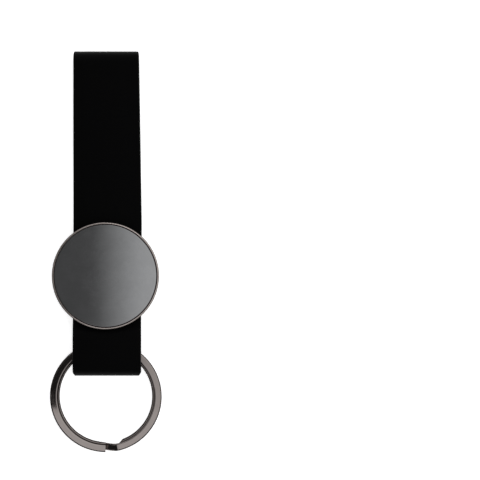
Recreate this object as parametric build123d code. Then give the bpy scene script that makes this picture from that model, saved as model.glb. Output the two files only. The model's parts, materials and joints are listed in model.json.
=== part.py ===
"""Strap key fob: a flat silicone loop, clamped by a round medallion, with a flat split ring in its lower fold.

Millimetres. The fob lies on its back: X runs across the strap, Y along it towards the closed upper loop, and
Z out of the medallion's face. The origin is the middle of the rear plate's outer face, which the fob lies on.
"""
from build123d import *
from math import asin, atan, atan2, cos, degrees, hypot, radians, sin, sqrt
import os

# ---- driving dimensions -------------------------------------------------------------------------------

# split ring: flat spring wire wound twice, the rear turn a little tighter than the front one
RING_RADIUS = 16.0
WIRE_WIDTH = 2.1
WIRE_THICKNESS = 1.15
WIRE_EDGE_ROUND = 0.36
TURN_GAP = 0.06
TURN_INSET = 0.66             # how much smaller in radius the rear turn is
FRONT_END_ANGLE = 269.5       # where the front turn is cut, at the bottom of the ring
STEP_ANGLE = 15.0             # over which the wire climbs from the rear turn to the front one
DRIFT_LEAD = 7.0              # degrees before that at which the rear turn starts to widen
REAR_END_GAP = 0.8            # degrees between the crossing and the rear turn's cut end
REAR_END_SLANT = 5.5          # degrees round the ring that its inner corner is cut back
REAR_END_DEPTH = 0.8          # across the wire, of the same cut
STEP_SECTIONS = 13
RING_PLAY = 0.42              # above and below the ring, in the lower fold
RING_SLACK = 1.61             # between the ring's inside and the bottom of the fold
RING_HEADROOM = 0.2           # length of fold kept open above the ring
RING_TOP_BELOW_RIM = 3.25     # from the medallion's edge down to the ring's hidden top
RING_FLOOR_GAP = 0.03

# strap: one strip, folded at both ends of the fob, with its own two ends butted under the medallion
STRAP_WIDTH = 19.35
STRAP_THICKNESS = 1.5
STRAP_ABOVE_RIM = 48.9        # from the medallion's edge up to the top of the upper fold
STRAP_END_GAP = 0.4
LAYER_GAP = 0.04              # between the two layers where they are clamped
UPPER_PARALLEL = 9.0          # length of the upper fold in which the two layers run parallel
BEND_BEYOND_RIM = 2.7         # where the strap bends, past the medallion's edge
BEND_MARGIN = 0.4             # of the round cut at the bend, outside the strap's greatest thickness
BEND_CLEARANCE = 0.1

# medallion: a cast housing with a raised rim, a polished face plate glued into it, and a screwed-on back
HOUSING_RADIUS = 15.3
HOUSING_HEIGHT = 2.8
HOUSING_EDGE_ROUND = 0.3
RELIEF_WIDTH = 5.25           # the housing's underside rises in a cone this far in from the edge
RELIEF_CLEARANCE = 0.2        # over the opening layers of the strap
RIM_WIDTH = 0.45
RIM_INNER_ROUND = 0.08
FACE_RECESS = 0.25            # how far the face lies below the rim
FACE_THICKNESS = 0.6
FACE_GAP = 0.27               # all round, between face plate and rim
FACE_EDGE_ROUND = 0.1
ADHESIVE_THICKNESS = 0.15
ADHESIVE_MARGIN = 0.6
REAR_INSET = 3.25             # how much smaller in radius the rear plate is than the housing
REAR_EDGE_ROUND = 0.4

# fastening: two countersunk M2 screws into tapped posts that stand in the strap's punched holes
POST_OFFSET = 6.0             # of each post from the medallion's centre, along the strap
POST_RADIUS = 1.6
POST_HOLE_CLEARANCE = 0.1     # all round, in the strap
THREAD_RADIUS = 1.0           # drawn plain, at the major diameter
THREAD_CLEARANCE = 0.02
THREAD_BEYOND_POST = 0.8      # depth of the tapped hole past the housing's underside
SCREW_END_GAP = 0.3
SCREW_HOLE_CLEARANCE = 0.1
SCREW_HEAD_RADIUS = 1.9
SCREW_HEAD_LAND = 0.12
SCREW_HEAD_SUNK = 0.05
COUNTERSINK_CLEARANCE = 0.06
CROSS_LENGTH = 2.1
CROSS_WIDTH = 0.42
CROSS_DEPTH = 0.6

# ---- derived places -----------------------------------------------------------------------------------

RING_THICKNESS = 2 * WIRE_THICKNESS + TURN_GAP
RING_INNER_RADIUS = RING_RADIUS - WIRE_WIDTH - TURN_INSET
FRONT_TURN_RADIUS = RING_RADIUS - WIRE_WIDTH / 2
REAR_TURN_RADIUS = FRONT_TURN_RADIUS - TURN_INSET
TURN_HEIGHT = (WIRE_THICKNESS + TURN_GAP) / 2

# the rear plate is as thick as half the fold's opening, so that plate and folds lie on one surface
FOLD_INNER_RADIUS = RING_THICKNESS / 2 + RING_PLAY
REAR_THICKNESS = FOLD_INNER_RADIUS - LAYER_GAP / 2
FOLD_OUTER_RADIUS = FOLD_INNER_RADIUS + STRAP_THICKNESS
MIDDLE_Z = FOLD_OUTER_RADIUS
HOUSING_UNDERSIDE = MIDDLE_Z + LAYER_GAP / 2 + STRAP_THICKNESS
RIM_TOP = HOUSING_UNDERSIDE + HOUSING_HEIGHT
FACE_TOP = RIM_TOP - FACE_RECESS
RECESS_FLOOR = FACE_TOP - FACE_THICKNESS - ADHESIVE_THICKNESS
RECESS_RADIUS = HOUSING_RADIUS - RIM_WIDTH
FACE_RADIUS = RECESS_RADIUS - FACE_GAP
REAR_RADIUS = HOUSING_RADIUS - REAR_INSET
THREAD_TOP = HOUSING_UNDERSIDE + THREAD_BEYOND_POST

# along the strap, as distances from the medallion's centre
RING_TOP = HOUSING_RADIUS + RING_TOP_BELOW_RIM
RING_CENTRE = RING_TOP + RING_RADIUS
RING_SIDE = RING_CENTRE - sqrt(RING_INNER_RADIUS ** 2 - (STRAP_WIDTH / 2) ** 2)
STRAP_BELOW = RING_SIDE + RING_SLACK + STRAP_THICKNESS
STRAP_ABOVE = HOUSING_RADIUS + STRAP_ABOVE_RIM
LOWER_PARALLEL = STRAP_BELOW - FOLD_OUTER_RADIUS - RING_TOP + RING_HEADROOM
BEND_Y = HOUSING_RADIUS + BEND_BEYOND_RIM
BEND_RADIUS = FOLD_OUTER_RADIUS + BEND_MARGIN

# the ring leans from its middle in the fold down to its far side, which lies on the same surface as the rest
LEAN_PIVOT = (RING_TOP + RING_SIDE) / 2
LEAN_REACH = RING_CENTRE - LEAN_PIVOT + RING_RADIUS - TURN_INSET - WIRE_EDGE_ROUND
RING_LEAN = degrees(
    asin((MIDDLE_Z - RING_FLOOR_GAP) / hypot(LEAN_REACH, RING_THICKNESS / 2))
    - atan2(RING_THICKNESS / 2, LEAN_REACH))


def turned(*points, rounds=()):
    """A solid turned about Z from (radius, height) points; rounds holds (index of the point, radius)."""
    outline = Polyline(*points, close=True)
    section = make_face(outline)
    for index, radius in rounds:
        corner = section.vertices().sort_by_distance(Vector(*points[index], 0))[0]
        section = fillet(corner, radius)
    return revolve(Plane.XZ * section, axis=Axis.Z)


def post(radius, bottom, top, side):
    """An upright cylinder at one of the two posts; side is +1 for the upper one and -1 for the lower one."""
    return Location((0, side * POST_OFFSET, bottom)) * Cylinder(
        radius, top - bottom, align=(Align.CENTER, Align.CENTER, Align.MIN))


# ---- medallion ----------------------------------------------------------------------------------------

def medallion_housing():
    relief_height = FOLD_INNER_RADIUS / 2 + RELIEF_CLEARANCE
    shell = turned(
        (0, HOUSING_UNDERSIDE), (HOUSING_RADIUS - RELIEF_WIDTH, HOUSING_UNDERSIDE),
        (HOUSING_RADIUS, HOUSING_UNDERSIDE + relief_height), (HOUSING_RADIUS, RIM_TOP),
        (RECESS_RADIUS, RIM_TOP), (RECESS_RADIUS, RECESS_FLOOR), (0, RECESS_FLOOR),
        rounds=((2, HOUSING_EDGE_ROUND), (3, HOUSING_EDGE_ROUND), (4, RIM_INNER_ROUND)))
    for side in (1, -1):
        shell += post(POST_RADIUS, REAR_THICKNESS, HOUSING_UNDERSIDE, side)
        shell -= post(THREAD_RADIUS, REAR_THICKNESS, THREAD_TOP, side)
    return shell


def face_plate():
    return turned(
        (0, FACE_TOP - FACE_THICKNESS), (FACE_RADIUS, FACE_TOP - FACE_THICKNESS),
        (FACE_RADIUS, FACE_TOP), (0, FACE_TOP), rounds=((2, FACE_EDGE_ROUND),))


def adhesive_disc():
    radius = FACE_RADIUS - ADHESIVE_MARGIN
    top = RECESS_FLOOR + ADHESIVE_THICKNESS
    return turned((0, RECESS_FLOOR), (radius, RECESS_FLOOR), (radius, top), (0, top))


def rear_plate():
    plate = turned(
        (0, 0), (REAR_RADIUS, 0), (REAR_RADIUS, REAR_THICKNESS), (0, REAR_THICKNESS),
        rounds=((1, REAR_EDGE_ROUND),))
    head = SCREW_HEAD_RADIUS + COUNTERSINK_CLEARANCE
    hole = THREAD_RADIUS + SCREW_HOLE_CLEARANCE
    land = SCREW_HEAD_SUNK + SCREW_HEAD_LAND
    past = REAR_THICKNESS + 1
    countersink = turned((0, -1), (head, -1), (head, land), (hole, land + head - hole), (hole, past), (0, past))
    for side in (1, -1):
        plate -= Location((0, side * POST_OFFSET, 0)) * countersink
    return plate


def rear_screw(side):
    shank = THREAD_RADIUS - THREAD_CLEARANCE
    land = SCREW_HEAD_SUNK + SCREW_HEAD_LAND
    tip = THREAD_TOP - SCREW_END_GAP
    screw = turned(
        (0, SCREW_HEAD_SUNK), (SCREW_HEAD_RADIUS, SCREW_HEAD_SUNK), (SCREW_HEAD_RADIUS, land),
        (shank, land + SCREW_HEAD_RADIUS - shank), (shank, tip), (0, tip))
    for turn in (0, 90):
        screw -= Location((0, 0, SCREW_HEAD_SUNK), (0, 0, turn)) * Box(
            CROSS_LENGTH, CROSS_WIDTH, CROSS_DEPTH, align=(Align.CENTER, Align.CENTER, Align.MIN))
    return Location((0, side * POST_OFFSET, 0)) * screw


# ---- strap --------------------------------------------------------------------------------------------

def strap_half(reach, parallel, side):
    """Half of the strip, from the medallion's centre round one fold: both layers, cut at the centre. The layers
    part with two equal arcs between the rear plate's edge and the fold's parallel stretch."""
    layer = (STRAP_THICKNESS + LAYER_GAP) / 2
    fold_middle = FOLD_INNER_RADIUS + STRAP_THICKNESS / 2
    fold_centre = reach - FOLD_OUTER_RADIUS
    run = fold_centre - parallel - REAR_RADIUS
    turn = 2 * atan((fold_middle - layer) / run)
    arc_radius = run / 2 / sin(turn)
    start = Line((STRAP_END_GAP / 2, layer), (REAR_RADIUS, layer))
    out = JernArc(start @ 1, start % 1, arc_radius, degrees(turn))
    back = JernArc(out @ 1, out % 1, arc_radius, -degrees(turn))
    parallel_run = Line(back @ 1, (fold_centre, fold_middle))
    fold = JernArc(parallel_run @ 1, (1, 0), fold_middle, -180)
    front = Curve() + [start, out, back, parallel_run]
    rear_start = Line((0, -layer), (REAR_RADIUS, -layer))
    rear = Curve() + [rear_start] + [mirror(edge, about=Plane.XZ) for edge in (out, back, parallel_run)]
    middle_line = Wire([*front.edges(), fold.edge(), *rear.edges()])
    profile = thicken_line(middle_line)
    strip = extrude(Plane.YZ * profile, STRAP_WIDTH / 2, both=True)
    strip = Location((0, 0, MIDDLE_Z)) * strip
    if side < 0:
        strip = mirror(strip, about=Plane.XZ)
    hole = post(POST_RADIUS + POST_HOLE_CLEARANCE, 0, RIM_TOP, side)
    return strip - hole


def thicken_line(line):
    """The strip's side view: its middle line given its thickness, half to each side."""
    left = line.offset_2d(STRAP_THICKNESS / 2, side=Side.LEFT, closed=False)
    right = line.offset_2d(STRAP_THICKNESS / 2, side=Side.RIGHT, closed=False)
    ends = []
    for corner in (left @ 0, left @ 1):
        partner = min((right @ 0, right @ 1), key=lambda point: (point - corner).length)
        ends.append(Line(corner, partner).edge())
    return make_face(Wire([*left.edges(), *right.edges(), *ends]))


def beyond_bend(side, radius):
    """The space past one of the strap's two bends, with the round of this radius about the bend's axis."""
    far = STRAP_ABOVE + STRAP_BELOW
    past = Location((0, side * (BEND_Y + far / 2), MIDDLE_Z)) * Box(2 * STRAP_WIDTH, far, 4 * FOLD_OUTER_RADIUS)
    knuckle = Location((0, side * BEND_Y, MIDDLE_Z), (0, 90, 0)) * Cylinder(radius, 2 * STRAP_WIDTH)
    return past + knuckle


def strap_loop(reach, parallel, side):
    return strap_half(reach, parallel, side) & beyond_bend(side, BEND_RADIUS)


def strap_middle():
    """The clamped stretch between the bends: the whole rear layer, and the strip's two butted ends over it."""
    upper = strap_half(STRAP_ABOVE, UPPER_PARALLEL, 1) - beyond_bend(1, BEND_RADIUS + BEND_CLEARANCE)
    lower = strap_half(STRAP_BELOW, LOWER_PARALLEL, -1) - beyond_bend(-1, BEND_RADIUS + BEND_CLEARANCE)
    return upper + lower


# ---- split ring ---------------------------------------------------------------------------------------

def wire_section(angle, radius, height):
    """The wire's rounded section, standing upright in the ring's own frame at one angle round the ring."""
    section = RectangleRounded(WIRE_WIDTH, WIRE_THICKNESS, WIRE_EDGE_ROUND)
    return Location((0, 0, 0), (0, 0, angle)) * (Plane.XZ * Location((radius, height, 0)) * section)


def polar(radius, angle):
    return (radius * cos(radians(angle)), radius * sin(radians(angle)))


def rear_end_cut(angle):
    """What is cut off the inner corner of the rear turn's end, which is square beyond that and at this angle."""
    corner = Vector(*polar(RING_INNER_RADIUS + REAR_END_DEPTH, angle))
    along = Vector(*polar(RING_INNER_RADIUS, angle + REAR_END_SLANT)) - corner
    corners = (corner - along, corner + 2 * along, Vector(*polar(RING_INNER_RADIUS / 2, angle)))
    wedge = make_face(Polyline(*corners, close=True))
    return extrude(wedge, 2 * WIRE_THICKNESS, both=True)


def eased(share):
    share = min(1, max(0, share))
    return share * share * (3 - 2 * share)


def split_ring():
    step_end = FRONT_END_ANGLE + STEP_ANGLE
    front_sweep = 360 - STEP_ANGLE
    front = revolve(wire_section(step_end, FRONT_TURN_RADIUS, TURN_HEIGHT), Axis.Z, front_sweep)
    rear_start = step_end + REAR_END_GAP
    drift_angle = DRIFT_LEAD + STEP_ANGLE
    rear_sweep = 360 - drift_angle - REAR_END_GAP
    rear = revolve(wire_section(rear_start, REAR_TURN_RADIUS, -TURN_HEIGHT), Axis.Z, rear_sweep)
    rear -= rear_end_cut(rear_start)
    sections = []
    for index in range(STEP_SECTIONS):
        turned_by = drift_angle * index / (STEP_SECTIONS - 1)
        sections.append(wire_section(
            FRONT_END_ANGLE - DRIFT_LEAD + turned_by,
            REAR_TURN_RADIUS + TURN_INSET * eased(turned_by / drift_angle),
            TURN_HEIGHT * (2 * eased((turned_by - DRIFT_LEAD) / STEP_ANGLE) - 1)))
    ring = front + loft(sections) + rear
    in_fold = Location((0, LEAN_PIVOT - RING_CENTRE, 0)) * ring
    return Location((0, -LEAN_PIVOT, MIDDLE_Z), (RING_LEAN, 0, 0)) * in_fold


NODES = {
    "medallion_housing": medallion_housing(),
    "face_plate": face_plate(),
    "adhesive_disc": adhesive_disc(),
    "rear_plate": rear_plate(),
    "rear_screw_upper": rear_screw(1),
    "rear_screw_lower": rear_screw(-1),
    "strap_middle": strap_middle(),
    "strap_upper_loop": strap_loop(STRAP_ABOVE, UPPER_PARALLEL, 1),
    "strap_ring_fold": strap_loop(STRAP_BELOW, LOWER_PARALLEL, -1),
    "split_ring": split_ring(),
}

os.makedirs("parts", exist_ok=True)
for name, shape in NODES.items():
    export_step(shape, f"parts/{name}.step")
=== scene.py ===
import json
import math

import bmesh
import bpy
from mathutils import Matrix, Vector


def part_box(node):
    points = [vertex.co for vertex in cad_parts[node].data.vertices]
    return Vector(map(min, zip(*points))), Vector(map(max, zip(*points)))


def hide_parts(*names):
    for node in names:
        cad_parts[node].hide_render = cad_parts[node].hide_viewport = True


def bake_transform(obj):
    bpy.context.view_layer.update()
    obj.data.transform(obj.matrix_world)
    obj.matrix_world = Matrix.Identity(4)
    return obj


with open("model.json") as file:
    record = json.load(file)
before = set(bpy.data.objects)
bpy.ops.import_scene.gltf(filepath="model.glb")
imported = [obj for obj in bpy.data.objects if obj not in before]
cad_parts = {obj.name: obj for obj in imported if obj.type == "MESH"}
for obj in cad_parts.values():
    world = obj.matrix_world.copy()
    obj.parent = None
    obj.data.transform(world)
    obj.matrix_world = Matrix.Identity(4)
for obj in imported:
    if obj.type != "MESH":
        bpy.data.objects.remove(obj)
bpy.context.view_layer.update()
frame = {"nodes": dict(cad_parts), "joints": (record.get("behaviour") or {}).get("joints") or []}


# ---- strap ---------------------------------------------------------------------------------------------
# One die-cut strip of matt black silicone with softened edges. It is folded at the top and round the split
# ring, its two ends butt in the front layer under the medallion, and two punched holes take the posts.
# It bends beside the stiff medallion, so it is built in two halves, which meet in the rear layer behind it.

MM = 0.001
STRAP_THICKNESS = 1.5 * MM
STRAP_EDGE_ROUND = 0.32 * MM
STRAP_EDGE_STEPS = 5
STRAP_STEP = 0.5 * MM
STRAP_END_GAP = 0.4 * MM
SHARP_EDGE = math.radians(35)           # edges sharper than this stay crisp


def bent_strip(start, segments):
    """Points and headings along straights and arcs seen from the side; a segment is (length, curvature)."""
    y, z = start
    heading = 0.0
    stations = [(y, z, heading)]
    for length, curvature in segments:
        count = max(1, round(length / STRAP_STEP))
        part = length / count
        for _ in range(count):
            turn = part * curvature
            chord = part if curvature == 0 else 2 * math.sin(turn / 2) / curvature
            y += chord * math.cos(heading + turn / 2)
            z += chord * math.sin(heading + turn / 2)
            heading += turn
            stations.append((y, z, heading))
    return stations


def folded_strip(loop_node, parallel):
    """
    The middle line of half the strip, as distances from the medallion's centre and heights. The layers lie
    together under the medallion, open in two opposite arcs, and run parallel for that length to the fold.
    """
    low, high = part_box(loop_node)
    clamp_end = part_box("rear_plate")[1].y
    middle_z = (high.z + low.z) / 2
    layer = middle_z - STRAP_THICKNESS / 2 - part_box("rear_plate")[1].z
    fold_outer = (high.z - low.z) / 2
    fold_radius = fold_outer - STRAP_THICKNESS / 2
    run = max(abs(low.y), abs(high.y)) - fold_outer - parallel - clamp_end
    turn = 2 * math.atan((fold_radius - layer) / run)
    bend = run / 2 / math.sin(turn)
    opening = [(bend * turn, 1 / bend), (bend * turn, -1 / bend), (parallel, 0)]
    closing = [(parallel, 0), (bend * turn, -1 / bend), (bend * turn, 1 / bend)]
    return bent_strip((STRAP_END_GAP / 2, middle_z + layer), [
        (clamp_end - STRAP_END_GAP / 2, 0), *opening, (math.pi * fold_radius, -1 / fold_radius),
        *closing, (clamp_end, 0)])


def strip_outline(width):
    """The strip's cross-section, a rectangle with softened corners, as a closed ring of points."""
    points = []
    for corner in range(4):
        across = (width / 2 - STRAP_EDGE_ROUND) * (1 if corner in (0, 3) else -1)
        up = (STRAP_THICKNESS / 2 - STRAP_EDGE_ROUND) * (1 if corner in (0, 1) else -1)
        for step in range(STRAP_EDGE_STEPS + 1):
            angle = math.radians(90 * corner + 90 * step / STRAP_EDGE_STEPS)
            points.append((
                across + STRAP_EDGE_ROUND * math.cos(angle), up + STRAP_EDGE_ROUND * math.sin(angle)))
    return points


def new_piece(name, bm):
    """A mesh object from bmesh data, shaded smooth except at its sharp edges."""
    bmesh.ops.recalc_face_normals(bm, faces=bm.faces)
    mesh = bpy.data.meshes.new(name)
    bm.to_mesh(mesh)
    bm.free()
    mesh.shade_smooth()
    mesh.set_sharp_from_angle(angle=SHARP_EDGE)
    piece = bpy.data.objects.new(name, mesh)
    bpy.context.scene.collection.objects.link(piece)
    return piece


# The soft strip settles a little to one side and spreads where it lies flat. Its upper loop narrows upwards.
SHIFT_BELOW, SHIFT_UNDER_MEDALLION, SHIFT_ABOVE = 0.33 * MM, 0.53 * MM, 0.12 * MM
STRAP_SPREAD = 0.085 * MM
STRAP_TOP_NARROWING = 0.42 * MM


def strap_lie(y):
    """(sideways shift, half width) of the strap at that Y, as it settles on a table."""
    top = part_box("strap_upper_loop")[1].y
    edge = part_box("medallion_housing")[1].y
    cut_low, cut_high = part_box("strap_middle")
    half = (cut_high.x - cut_low.x) / 2 + STRAP_SPREAD
    if y < edge:
        share = min(1, max(0, (y + edge) / (2 * edge)))
        return SHIFT_BELOW + (SHIFT_UNDER_MEDALLION - SHIFT_BELOW) * share, half
    share = (y - edge) / (top - edge)
    shift = SHIFT_UNDER_MEDALLION + (SHIFT_ABOVE - SHIFT_UNDER_MEDALLION) * share
    return shift, half - STRAP_TOP_NARROWING * share


def eased(share):
    """0 to 1 with a soft start and end."""
    share = min(1, max(0, share))
    return share * share * (3 - 2 * share)


# Two punched holes take the medallion's posts, with room round them.
POST_OFFSET = 6 * MM
POST_HOLE_RADIUS = 1.7 * MM
PUNCH_LENGTH = 20 * MM
PUNCH_SIDES = 48


def punch(piece, place):
    """Cuts a post hole straight down through a piece."""
    bm = bmesh.new()
    bmesh.ops.create_cone(
        bm, cap_ends=True, segments=PUNCH_SIDES, radius1=POST_HOLE_RADIUS, radius2=POST_HOLE_RADIUS,
        depth=PUNCH_LENGTH)
    bmesh.ops.translate(bm, verts=bm.verts, vec=(*place, 0))
    cutter = new_piece("cutter", bm)
    cut = piece.modifiers.new("punch", "BOOLEAN")
    cut.object = cutter
    cut.operation = "DIFFERENCE"
    cut.solver = "EXACT"
    depsgraph = bpy.context.evaluated_depsgraph_get()
    mesh = bpy.data.meshes.new_from_object(piece.evaluated_get(depsgraph))
    piece.modifiers.clear()
    piece.data = mesh
    bpy.data.objects.remove(cutter)


PINCH_FROM = 0.75


def strap_half(name, loop_node, parallel, side, pinch):
    """
    Half the strip as one closed mesh; side is 1 for the upper half and -1 for the lower one. Each edge draws
    in by the pinch where the silicone stands nearly upright, stretched round the fold.
    """
    bm = bmesh.new()
    rows = []
    for y, z, heading in folded_strip(loop_node, parallel):
        shift, half = strap_lie(side * y)
        upright = math.sin(abs(heading))
        half -= pinch * eased((upright - PINCH_FROM) / (1 - PINCH_FROM))
        row = []
        for across, up in strip_outline(2 * half):
            position = (shift + across, side * (y - up * math.sin(heading)), z + up * math.cos(heading))
            row.append(bm.verts.new(position))
        rows.append(row)
    for before, after in zip(rows, rows[1:]):
        for index in range(len(before)):
            following = (index + 1) % len(before)
            bm.faces.new((before[index], before[following], after[following], after[index]))
    bm.faces.new(rows[0])
    bm.faces.new(rows[-1])
    piece = new_piece(name, bm)
    punch(piece, (0, side * POST_OFFSET))
    return piece


def nodes_of(made):
    """Two shortcuts for a finish's nodes: one adds a node with its settings, the other links sockets."""
    tree = made.node_tree

    def add(kind, inputs=(), **settings):
        node = tree.nodes.new("ShaderNode" + kind)
        for key, value in settings.items():
            setattr(node, key, value)
        for key, value in dict(inputs).items():
            node.inputs[key].default_value = value
        return node

    return add, tree.links.new


def finish_of(name, colour, metallic, roughness):
    """A finish whose shader has this colour and roughness, with the shortcuts for its nodes."""
    made = bpy.data.materials.new(name)
    made.use_nodes = True
    shader = made.node_tree.nodes["Principled BSDF"]
    shader.inputs["Base Color"].default_value = (*colour, 1)
    shader.inputs["Metallic"].default_value = metallic
    shader.inputs["Roughness"].default_value = roughness
    return made, shader, *nodes_of(made)


# Matt silicone has a fine mould grain, a faint cloudiness in its gloss, and a soft bloom at a low angle.
silicone, shader, add, link = finish_of("matt_black_silicone", (0.001, 0.001, 0.0011), 0, 0.55)
shader.inputs["Specular IOR Level"].default_value = 0.02
shader.inputs["Sheen Weight"].default_value = 0.16
shader.inputs["Sheen Roughness"].default_value = 0.35
place = add("TexCoord")
cloud = add("TexNoise", {"Scale": 90, "Detail": 4})
gloss = add("MapRange", {"From Min": 0.3, "From Max": 0.7, "To Min": 0.48, "To Max": 0.62})
tone = add("MixRGB", {"Color1": (0.0008, 0.0008, 0.0009, 1), "Color2": (0.0014, 0.0014, 0.0015, 1)})
grain = add("TexNoise", {"Scale": 7000, "Detail": 3, "Roughness": 0.6})
relief = add("Bump", {"Strength": 0.35, "Distance": 0.02 * MM})
link(place.outputs["Object"], cloud.inputs["Vector"])
link(cloud.outputs["Fac"], gloss.inputs["Value"])
link(gloss.outputs["Result"], shader.inputs["Roughness"])
link(cloud.outputs["Fac"], tone.inputs["Fac"])
link(tone.outputs["Color"], shader.inputs["Base Color"])
link(place.outputs["Object"], grain.inputs["Vector"])
link(grain.outputs["Fac"], relief.inputs["Height"])
link(relief.outputs["Normal"], shader.inputs["Normal"])

UPPER_PARALLEL = 9 * MM
UPPER_FOLD_PINCH = 0.1 * MM
strap_upper = strap_half("strap_upper", "strap_upper_loop", UPPER_PARALLEL, 1, UPPER_FOLD_PINCH)

# The lower layers run parallel from the split ring's top to the fold.
RING_HEADROOM = 0.2 * MM
LOWER_FOLD_PINCH = 0.42 * MM
low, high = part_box("strap_ring_fold")
ring_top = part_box("split_ring")[1].y
lower_parallel = abs(low.y) - (high.z - low.z) / 2 + ring_top + RING_HEADROOM
strap_lower = strap_half("strap_lower", "strap_ring_fold", lower_parallel, -1, LOWER_FOLD_PINCH)

# Spans before and past each strap joint: shorter past the lower one, where the ring lies.
UPPER_BEND = (3.5 * MM, 3.5 * MM)
LOWER_BEND = (4 * MM, 1.4 * MM)
joint_at = {joint["name"]: Vector(joint["pos_m"]) for joint in frame["joints"]}
for piece, body, joint, side, (before, past) in (
        (strap_upper, "upper_loop", "strap_bend", 1, UPPER_BEND),
        (strap_lower, "ring_fold", "fold_bend", -1, LOWER_BEND)):
    piece.data.materials.clear()
    piece.data.materials.append(silicone)
    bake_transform(piece)
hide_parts("strap_upper_loop")
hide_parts("strap_ring_fold", "strap_middle")


# ---- medallion housing ---------------------------------------------------------------------------------
# A cup die-cast in zinc, plated in dark gunmetal and polished, with a narrow raised rim that guards the face
# plate. Its two posts pass through the strap and take the screws from behind. The rim's top is painted
# lighter next to the groove, a painted highlight over the plating's own tone. The rounded outer edge and the
# inside of
# the cup are painted near black: painted shade down in the cup, a painted dark reflection on the outer edge.

# Near black, painted as shade in the cup, the groove and the ring's slot, and as a dark reflection on
# rounded edges.
PAINTED_SHADE_TONE = (0.022, 0.018, 0.017)
# The rim's top has the plating's own tone with a painted highlight added, lightest next to the groove.
RIM_INNER_TONE = (0.4, 0.355, 0.335)
RIM_OUTER_TONE = (0.34, 0.298, 0.28)
RIM_WIDTH = 0.45 * MM
RIM_EDGE_FROM, RIM_EDGE_TO = 0.16 * MM, 0.05 * MM


def coat(node, made):
    """Gives a carried-over piece its finish."""
    piece = frame["nodes"][node]
    piece.data.materials.clear()
    piece.data.materials.append(made)


def turned_finish(name, centre, bands, roughness, grain, low_angle_tint):
    """
    Dark plating whose tone changes with the distance from an upright axis, with fine tool lines and a cloudy
    gloss. A band is (distance, colour); between bands the colours run into one another.
    """
    inner, outer = bands[0][0], bands[-1][0]
    made, shader, add, link = finish_of(name, bands[0][1], 1, roughness)
    shader.inputs["Specular Tint"].default_value = (low_angle_tint, low_angle_tint, low_angle_tint, 1)
    place = add("TexCoord")
    about = add("Mapping", {"Location": (-centre[0], -centre[1], 0), "Scale": (1, 1, 0)})
    distance = add("VectorMath", operation="LENGTH")
    share = add("MapRange", {"From Min": inner, "From Max": outer})
    tone = add("ValToRGB")
    while len(tone.color_ramp.elements) < len(bands):
        tone.color_ramp.elements.new(0.5)
    for stop, (radius, colour) in zip(tone.color_ramp.elements, bands):
        stop.position = (radius - inner) / (outer - inner)
        stop.color = (*colour, 1)
    lines = add("TexNoise", {"Scale": 9000, "Detail": 2}, noise_dimensions="1D")
    cloud = add("TexNoise", {"Scale": 350, "Detail": 5, "Roughness": 0.6})
    both = add("Math", operation="MULTIPLY")
    gloss = add("MapRange", {
        "From Min": 0.15, "From Max": 0.4, "To Min": 0.7 * roughness, "To Max": 1.4 * roughness})
    shade = add("MapRange", {"From Min": 0.15, "From Max": 0.4, "To Min": 0.93, "To Max": 1.04})
    tinted = add("VectorMath", operation="SCALE")
    relief = add("Bump", {"Strength": grain, "Distance": 0.004 * MM})
    link(place.outputs["Object"], about.inputs["Vector"])
    link(about.outputs["Vector"], distance.inputs[0])
    link(distance.outputs["Value"], share.inputs["Value"])
    link(share.outputs["Result"], tone.inputs["Fac"])
    link(distance.outputs["Value"], lines.inputs["W"])
    link(place.outputs["Object"], cloud.inputs["Vector"])
    link(lines.outputs["Fac"], both.inputs[0])
    link(cloud.outputs["Fac"], both.inputs[1])
    link(both.outputs["Value"], gloss.inputs["Value"])
    link(gloss.outputs["Result"], shader.inputs["Roughness"])
    link(both.outputs["Value"], shade.inputs["Value"])
    link(tone.outputs["Color"], tinted.inputs["Vector"])
    link(shade.outputs["Result"], tinted.inputs["Scale"])
    link(tinted.outputs["Vector"], shader.inputs["Base Color"])
    link(lines.outputs["Fac"], relief.inputs["Height"])
    link(relief.outputs["Normal"], shader.inputs["Normal"])
    return made


housing_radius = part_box("medallion_housing")[1].x
cup_radius = housing_radius - RIM_WIDTH
# Painted near black inside the cup as its shade and on the outer edge as a dark reflection; the rim's top
# between is lighter, with a painted highlight.
coat("medallion_housing", turned_finish("gunmetal_casting", (0, 0), (
    (0, PAINTED_SHADE_TONE),
    (cup_radius - 0.02 * MM, PAINTED_SHADE_TONE),
    (cup_radius + 0.03 * MM, RIM_INNER_TONE),
    (housing_radius - RIM_EDGE_FROM, RIM_OUTER_TONE),
    (housing_radius - RIM_EDGE_TO, PAINTED_SHADE_TONE),
    (housing_radius, PAINTED_SHADE_TONE)), roughness=0.1, grain=0.1, low_angle_tint=0.2))


# ---- adhesive disc -------------------------------------------------------------------------------------
# Thin white foam tape, sticky on both sides, punched round. It holds the face plate to the floor of the cup,
# and its edge shows the foam's cells.

tape, shader, add, link = finish_of("foam_tape", (0.72, 0.72, 0.68), 0, 0.8)
place = add("TexCoord")
cells = add("TexVoronoi", {"Scale": 5000})
tone = add("MixRGB", {"Color1": (0.6, 0.6, 0.56, 1), "Color2": (0.76, 0.76, 0.72, 1)})
link(place.outputs["Object"], cells.inputs["Vector"])
link(cells.outputs["Distance"], tone.inputs["Fac"])
link(tone.outputs["Color"], shader.inputs["Base Color"])
coat("adhesive_disc", tape)


# ---- face plate ----------------------------------------------------------------------------------------
# A disc punched from metal sheet, polished flat and plated like the housing, a shade cooler. It is glued
# into the cup just below the rim, and its punched edge turns down into the groove round it. The outermost
# band of the disc is painted near black as the groove's shade.

FACE_TONE = (0.286, 0.29, 0.296)
FACE_EDGE = 0.1 * MM
face_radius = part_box("face_plate")[1].x
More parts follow.
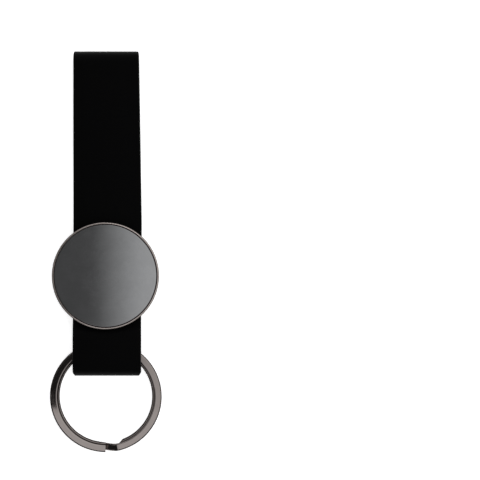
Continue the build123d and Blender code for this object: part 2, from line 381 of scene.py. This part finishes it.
# Its outermost band is painted near black, painted shade for the groove.
coat("face_plate", turned_finish("polished_face", (0, 0), (
    (0, FACE_TONE), (face_radius - FACE_EDGE, FACE_TONE),
    (face_radius, PAINTED_SHADE_TONE)), roughness=0.035, grain=0.05, low_angle_tint=0.9))


# ---- rear plate ----------------------------------------------------------------------------------------
# A flat disc of steel, brushed straight across and plated dark. It clamps the strap against the housing from
# behind, and its two countersunk holes take the screws.

brushed, shader, add, link = finish_of("brushed_gunmetal", (0.2, 0.185, 0.178), 1, 0.32)
place = add("TexCoord")
stretch = add("Mapping", {"Scale": (60, 9000, 9000)})
strokes = add("TexNoise", {"Scale": 1, "Detail": 5, "Roughness": 0.7})
gloss = add("MapRange", {"From Min": 0.3, "From Max": 0.7, "To Min": 0.24, "To Max": 0.42})
tone = add("MixRGB", {"Color1": (0.17, 0.156, 0.15, 1), "Color2": (0.24, 0.222, 0.212, 1)})
relief = add("Bump", {"Strength": 0.4, "Distance": 0.01 * MM})
link(place.outputs["Object"], stretch.inputs["Vector"])
link(stretch.outputs["Vector"], strokes.inputs["Vector"])
link(strokes.outputs["Fac"], gloss.inputs["Value"])
link(gloss.outputs["Result"], shader.inputs["Roughness"])
link(strokes.outputs["Fac"], tone.inputs["Fac"])
link(tone.outputs["Color"], shader.inputs["Base Color"])
link(strokes.outputs["Fac"], relief.inputs["Height"])
link(relief.outputs["Normal"], shader.inputs["Normal"])
coat("rear_plate", brushed)


# ---- screws --------------------------------------------------------------------------------------------
# Two small countersunk cross-recess screws of steel, chemically blackened. They hold the rear plate to the
# posts, and the blacking is rubbed a little brighter at the edge of each head.

SCREW_MIDDLE_TONE = (0.1, 0.095, 0.093)
SCREW_FACE_TONE = (0.09, 0.085, 0.083)
RUBBED_EDGE_TONE = (0.2, 0.19, 0.185)
RUBBED_EDGE = 0.2 * MM
for node in ("rear_screw_upper", "rear_screw_lower"):
    low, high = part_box(node)
    middle = ((low.x + high.x) / 2, (low.y + high.y) / 2)
    head_radius = (high.x - low.x) / 2
    coat(node, turned_finish(f"blackened_{node}", middle, (
        (0, SCREW_MIDDLE_TONE), (head_radius - RUBBED_EDGE, SCREW_FACE_TONE),
        (head_radius, RUBBED_EDGE_TONE)), roughness=0.3, grain=0.2, low_angle_tint=0.6))


# ---- split ring ----------------------------------------------------------------------------------------
# Flat spring wire, drawn with rounded edges, wound twice and tempered, then plated like the medallion. The
# barrel polishes the broad faces. The rounded edges are painted near black as a dark reflection, and the
# slot where the turns lie together is painted dark as the front turn's shade, the rear turn's face in it
# too.

GUNMETAL = (0.26, 0.232, 0.222)
# The rear turn's face is painted darker than the front turn's plating, as shade.
REAR_LINE_SHADED_TONES = (0.18, 0.158, 0.15), (0.16, 0.14, 0.133)
WIRE_WIDTH = 2.1 * MM
TURN_INSET = 0.66 * MM
REAR_EDGE = 0.16 * MM                                       # the rear turn's rounded inner edge
REAR_LINE_FROM, REAR_LINE_TO = 0.3 * MM, 0.42 * MM          # the part of its face that shows, polished, painted darker as the front turn's shade
SLOT_FROM = 0.55 * MM                                       # where the front turn starts to shade it
INNER_EDGE_FROM, INNER_EDGE_TO = 0.03 * MM, 0.2 * MM        # the front turn's rounded edges
OUTER_EDGE_FROM, OUTER_EDGE_TO = 0.36 * MM, 0.2 * MM
ring_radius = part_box("split_ring")[1].x
front_inner = ring_radius - WIRE_WIDTH
rear_inner = front_inner - TURN_INSET
# Painted on the wire: near black on the rear turn's inner edge and in the slot as the front turn's shade,
# the rear turn's face darker than the front turn's as shade, and near black on the front turn's rounded
# edges as a dark reflection.
coat("split_ring", turned_finish("gunmetal_wire", joint_at["ring_spin"], (
    (rear_inner, PAINTED_SHADE_TONE),
    (rear_inner + REAR_EDGE, PAINTED_SHADE_TONE),
    (rear_inner + REAR_LINE_FROM, REAR_LINE_SHADED_TONES[0]),
    (rear_inner + REAR_LINE_TO, REAR_LINE_SHADED_TONES[1]),
    (rear_inner + SLOT_FROM, PAINTED_SHADE_TONE),
    (front_inner + INNER_EDGE_FROM, PAINTED_SHADE_TONE),
    (front_inner + INNER_EDGE_TO, GUNMETAL),
    (ring_radius - OUTER_EDGE_FROM, GUNMETAL),
    (ring_radius - OUTER_EDGE_TO, PAINTED_SHADE_TONE),
    (ring_radius, PAINTED_SHADE_TONE)), roughness=0.03, grain=0.05, low_angle_tint=0.3))


# ---- table ---------------------------------------------------------------------------------------------
# The key ring lies on a plain white light table. Its top is one sheet of matt acrylic, lit from below, so
# that hardly a shadow is left.

TABLE_HALF_WIDTH = 3
TABLE_GLOW = 0.7
bm = bmesh.new()
bmesh.ops.create_grid(bm, x_segments=1, y_segments=1, size=TABLE_HALF_WIDTH)
table = new_piece("table", bm)
acrylic, shader, add, link = finish_of("white_table", (0.93, 0.93, 0.93), 0, 0.9)
shader.inputs["Specular IOR Level"].default_value = 0
shader.inputs["Emission Color"].default_value = (1, 1, 1, 1)
shader.inputs["Emission Strength"].default_value = TABLE_GLOW
table.data.materials.append(acrylic)


# ---- studio light --------------------------------------------------------------------------------------
# A white studio whose soft light comes from all round. It is bright overhead, to the right and behind the
# table. It is dimmer low down, to the left and towards the front, so each edge has a light and a dark side.

OVERHEAD_LIGHT, LOW_LIGHT = 1.25, 0.5
RIGHT_LIGHT, LEFT_LIGHT = 1, 0.55
BACK_LIGHT, FRONT_LIGHT = 1.4, 0.6
bpy.context.scene.view_settings.view_transform = "Standard"
world = bpy.data.worlds.new("studio")
bpy.context.scene.world = world
world.use_nodes = True
add, link = nodes_of(world)
place = add("TexCoord")
split = add("SeparateXYZ")
above = add("MapRange", {
    "From Min": 0.1, "From Max": 0.85, "To Min": LOW_LIGHT, "To Max": OVERHEAD_LIGHT},
    interpolation_type="SMOOTHSTEP")
right = add("MapRange", {
    "From Min": -0.85, "From Max": 0, "To Min": LEFT_LIGHT, "To Max": RIGHT_LIGHT},
    interpolation_type="SMOOTHSTEP")
behind = add("MapRange", {
    "From Min": -0.9, "From Max": 0.9, "To Min": FRONT_LIGHT, "To Max": BACK_LIGHT})
both = add("Math", operation="MULTIPLY")
all_three = add("Math", operation="MULTIPLY")
link(place.outputs["Generated"], split.inputs["Vector"])
link(split.outputs["X"], right.inputs["Value"])
link(split.outputs["Y"], behind.inputs["Value"])
link(split.outputs["Z"], above.inputs["Value"])
link(above.outputs["Result"], both.inputs[0])
link(right.outputs["Result"], both.inputs[1])
link(both.outputs["Value"], all_three.inputs[0])
link(behind.outputs["Result"], all_three.inputs[1])
sky = world.node_tree.nodes["Background"]
sky.inputs["Color"].default_value = (1, 1, 1, 1)
link(all_three.outputs["Value"], sky.inputs["Strength"])


# ---- graded card ---------------------------------------------------------------------------------------
# A dark card hung over the left of the table, whose right edge fades into the light. The polished face plate
# reflects the fade. A wing nearer the front keeps the split ring's crossing dark, and the card is darker
# towards the wing, for the left side of the ring.

CARD_HEIGHT = 0.9
CARD_LEFT, CARD_RIGHT = -0.8, 0.0003
CARD_NEAR, CARD_FAR = -0.199, 0.5
WING_LEFT, WING_RIGHT, WING_NEAR = -1.6, -0.4, -1
FADE_LEFT = -0.0444
FADE = (
    (0, 0.165), (0.2, 0.18), (0.27, 0.243), (0.34, 0.34),
    (0.54, 0.634), (0.673, 0.848), (0.806, 0.976), (1, 1.06))
DIM_NEAR, DIM_FAR, DIMMED = -0.14, -0.08, 0.05
bm = bmesh.new()
outline = (
    (WING_LEFT, WING_NEAR), (WING_RIGHT, WING_NEAR), (WING_RIGHT, CARD_NEAR), (CARD_RIGHT, CARD_NEAR),
    (CARD_RIGHT, CARD_FAR), (CARD_LEFT, CARD_FAR), (CARD_LEFT, CARD_NEAR), (WING_LEFT, CARD_NEAR))
bm.faces.new([bm.verts.new((x, y, 0)) for x, y in outline])
card = new_piece("graded_card", bm)
card.location.z = CARD_HEIGHT
graded = bpy.data.materials.new("graded_card")
graded.use_nodes = True
graded.node_tree.nodes.clear()
add, link = nodes_of(graded)
place = add("TexCoord")
split = add("SeparateXYZ")
across = add("MapRange", {"From Min": FADE_LEFT, "From Max": CARD_RIGHT})
fade = add("ValToRGB")
while len(fade.color_ramp.elements) < len(FADE):
    fade.color_ramp.elements.new(0.5)
for stop, (position, brightness) in zip(fade.color_ramp.elements, FADE):
    stop.position = position
    stop.color = (brightness, brightness, brightness, 1)
dim = add("MapRange", {"From Min": DIM_NEAR, "From Max": DIM_FAR, "To Min": DIMMED, "To Max": 1})
dimmed = add("Math", operation="MULTIPLY")
kept_bright = add("Mix", data_type="FLOAT")
glow = add("Emission")
out = add("OutputMaterial")
link(place.outputs["Object"], split.inputs["Vector"])
link(split.outputs["X"], across.inputs["Value"])
link(across.outputs["Result"], fade.inputs["Fac"])
link(split.outputs["Y"], dim.inputs["Value"])
link(fade.outputs["Color"], dimmed.inputs[0])
link(dim.outputs["Result"], dimmed.inputs[1])
link(fade.outputs["Color"], kept_bright.inputs["Factor"])
link(dimmed.outputs["Value"], kept_bright.inputs["A"])
link(fade.outputs["Color"], kept_bright.inputs["B"])
link(kept_bright.outputs["Result"], glow.inputs["Strength"])
link(glow.outputs["Emission"], out.inputs["Surface"])
card.data.materials.append(graded)


# ---- camera --------------------------------------------------------------------------------------------
# A camera on a copy stand above the table, looking straight down. The key ring lies at the left of its view,
# which is this wide at the medallion.

CAMERA_HEIGHT = 1.2
VIEW_WIDTH = 137.14 * MM
VIEW_CENTRE = Vector((38.4 * MM, 10.22 * MM, 5 * MM))
optics = bpy.data.cameras.new("camera")
camera = bpy.data.objects.new("camera", optics)
bpy.context.scene.collection.objects.link(camera)
camera.location = VIEW_CENTRE + Vector((0, 0, CAMERA_HEIGHT))
optics.lens = optics.sensor_width * CAMERA_HEIGHT / VIEW_WIDTH
bpy.context.scene.camera = camera
